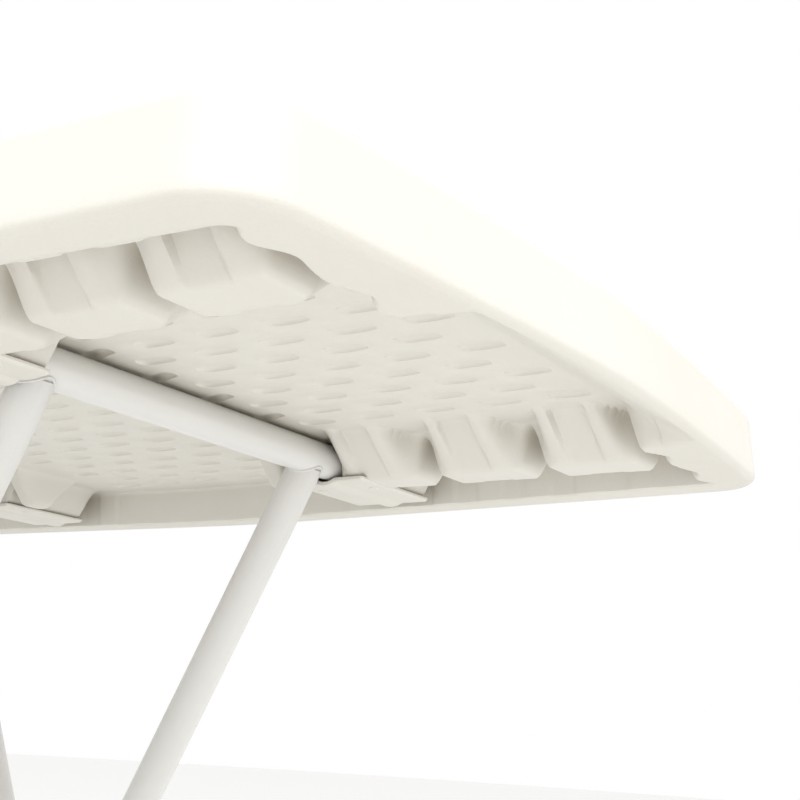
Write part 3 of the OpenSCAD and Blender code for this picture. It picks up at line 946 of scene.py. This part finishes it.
def clip(side):
    """A half sleeve round the inner leg with flat lips."""
    c = Vector((0, STAND_Y + side * INNER_LEG_Y, CROSS_Z))
    y = Vector((0, 1, 0))
    e = y.cross(INNER_DIR).normalized()
    mid, thick = (CLIP_IN + CLIP_OUT) / 2, (CLIP_OUT - CLIP_IN) / 2
    turns = [-math.pi / 2 + math.pi * i / CLIP_STEPS for i in range(CLIP_STEPS + 1)]
    lips = [math.pi * i / LIP_STEPS for i in range(1, LIP_STEPS)]
    rings = []
    for t, pull in CLIP_ENDS:
        half = thick - pull
        at = c + INNER_DIR * t
        ring = [at + (e * math.cos(a) + y * math.sin(a)) * (mid + half) for a in turns]
        ring += [at + y * (mid + half * math.cos(b)) for b in lips]
        ring += [at + (e * math.cos(a) + y * math.sin(a)) * (mid - half) for a in turns[::-1]]
        ring += [at - y * (mid - half * math.cos(b)) for b in lips]
        rings.append(ring)
    return rings_mesh(rings)


def clip_seat(side):
    """The boss between the two legs, flared where it meets the outer leg."""
    y0 = INNER_LEG_Y + TUBE_R + SEAT_GAP
    length = OUTER_LEG_Y - TUBE_R - y0 + SEAT_BITE
    profile = [(0.0, 7.6), (0.4, 8.4), (1.0, 8.8), (length - 6, 8.8), (length - 4, 9.0),
               (length, 9.0)]
    return lathe((0, STAND_Y + side * y0, CROSS_Z), (0, side, 0), profile, 80)


def rivet(side):
    """A domed head on the outer leg's far side, with its shank through the boss."""
    outside = OUTER_LEG_Y + TUBE_R
    start = INNER_LEG_Y + TUBE_R + RIVET_START
    bows = [math.pi / 2 * i / 8 for i in range(1, 9)]
    head = [(-RIVET_SINK, RIVET_R), (0.0, RIVET_R)]
    head += [(RIVET_HIGH * math.sin(a), RIVET_R * math.cos(a) + 0.02) for a in bows]
    shank = [(0.0, RIVET_SHANK_R), (outside - start, RIVET_SHANK_R)]
    return join([lathe((0, STAND_Y + side * outside, CROSS_Z), (0, side, 0), head, 64),
                 lathe((0, STAND_Y + side * start, CROSS_Z), (0, side, 0), shank, 32)])


rivets = []
for side, where in ((-1, "front"), (1, "rear")):
    add_mesh(f"snap_clip_{where}", *join([clip(side), clip_seat(side)]), FITTING, "outer_frame",
             [f"cross_clip_{where}"], "fitting_plastic")
    rivets.append(rivet(side))
add_mesh("domed_rivets", *join(rivets), STEEL, "outer_frame", ["clip_rivets"], "fastener_steel",
         angle=30.0)


# ---------------------------------------------------------------- stage, light, camera
FLOOR_R = 14.0                             # metres from here on
FLOOR_COLOUR = (0.92, 0.915, 0.90, 1)
WORLD_STRENGTH = 1.0
LIGHT_AIM = (0.1, 0.0, 0.6)
KEY_AT, KEY_SIZE, KEY_WATTS = (1.9, -2.1, 3.0), 2.2, 115.0
FILL_AT, FILL_SIZE, FILL_WATTS = (2.6, 1.8, 0.9), 2.0, 18.0
CAMERA_BELOW_DECK = 0.205
CAMERA_AT = (0.7585, -0.551, DECK_Z * MM - CAMERA_BELOW_DECK)
CAMERA_RIGHT = (0.82526, 0.56139, 0.06160)
CAMERA_FORWARD = (-0.55652, 0.78979, 0.25792)
LENS, SENSOR = 55.9, 36.0


def stage():
    """A plain pale floor."""
    me = bpy.data.meshes.new("floor")
    bm = bmesh.new()
    bmesh.ops.create_circle(bm, cap_ends=True, segments=96, radius=FLOOR_R)
    bm.to_mesh(me)
    bm.free()
    floor = bpy.data.objects.new("floor", me)
    bpy.context.scene.collection.objects.link(floor)
    m = bpy.data.materials.new("pale_floor")
    m.use_nodes = True
    nt = m.node_tree
    bsdf = nt.nodes["Principled BSDF"]
    noise = nt.nodes.new("ShaderNodeTexNoise")
    noise.inputs["Scale"].default_value = 60.0
    noise.inputs["Detail"].default_value = 6.0
    spread = nt.nodes.new("ShaderNodeMapRange")
    spread.inputs["To Min"].default_value = 0.55
    spread.inputs["To Max"].default_value = 0.75
    nt.links.new(noise.outputs["Fac"], spread.inputs["Value"])
    nt.links.new(spread.outputs["Result"], bsdf.inputs["Roughness"])
    bsdf.inputs["Base Color"].default_value = FLOOR_COLOUR
    me.materials.append(m)


def world():
    """Even white light from all round."""
    w = bpy.data.worlds.new("studio")
    bpy.context.scene.world = w
    w.use_nodes = True
    bg = w.node_tree.nodes["Background"]
    bg.inputs["Color"].default_value = (1.0, 1.0, 1.0, 1)
    bg.inputs["Strength"].default_value = WORLD_STRENGTH


def area(name, at, size, watts):
    """A square soft light aimed at the board."""
    data = bpy.data.lights.new(name, "AREA")
    data.size = size
    data.energy = watts
    ob = bpy.data.objects.new(name, data)
    ob.location = at
    ob.rotation_euler = (Vector(LIGHT_AIM) - Vector(at)).to_track_quat("-Z", "Y").to_euler()
    bpy.context.scene.collection.objects.link(ob)


def camera():
    """The photograph's viewing angle: from below, near one end."""
    data = bpy.data.cameras.new("camera")
    data.sensor_width = SENSOR
    data.lens = LENS
    data.clip_start = 0.01
    ob = bpy.data.objects.new("camera", data)
    right = Vector(CAMERA_RIGHT).normalized()
    forward = Vector(CAMERA_FORWARD).normalized()
    up = right.cross(forward).normalized()
    turn = Matrix((right, up, -forward)).transposed()
    ob.matrix_world = Matrix.Translation(Vector(CAMERA_AT)) @ turn.to_4x4()
    bpy.context.scene.collection.objects.link(ob)
    bpy.context.scene.camera = ob


stage()
world()
area("key", KEY_AT, KEY_SIZE, KEY_WATTS)
area("fill", FILL_AT, FILL_SIZE, FILL_WATTS)
camera()
bpy.context.scene.view_settings.view_transform = "Standard"
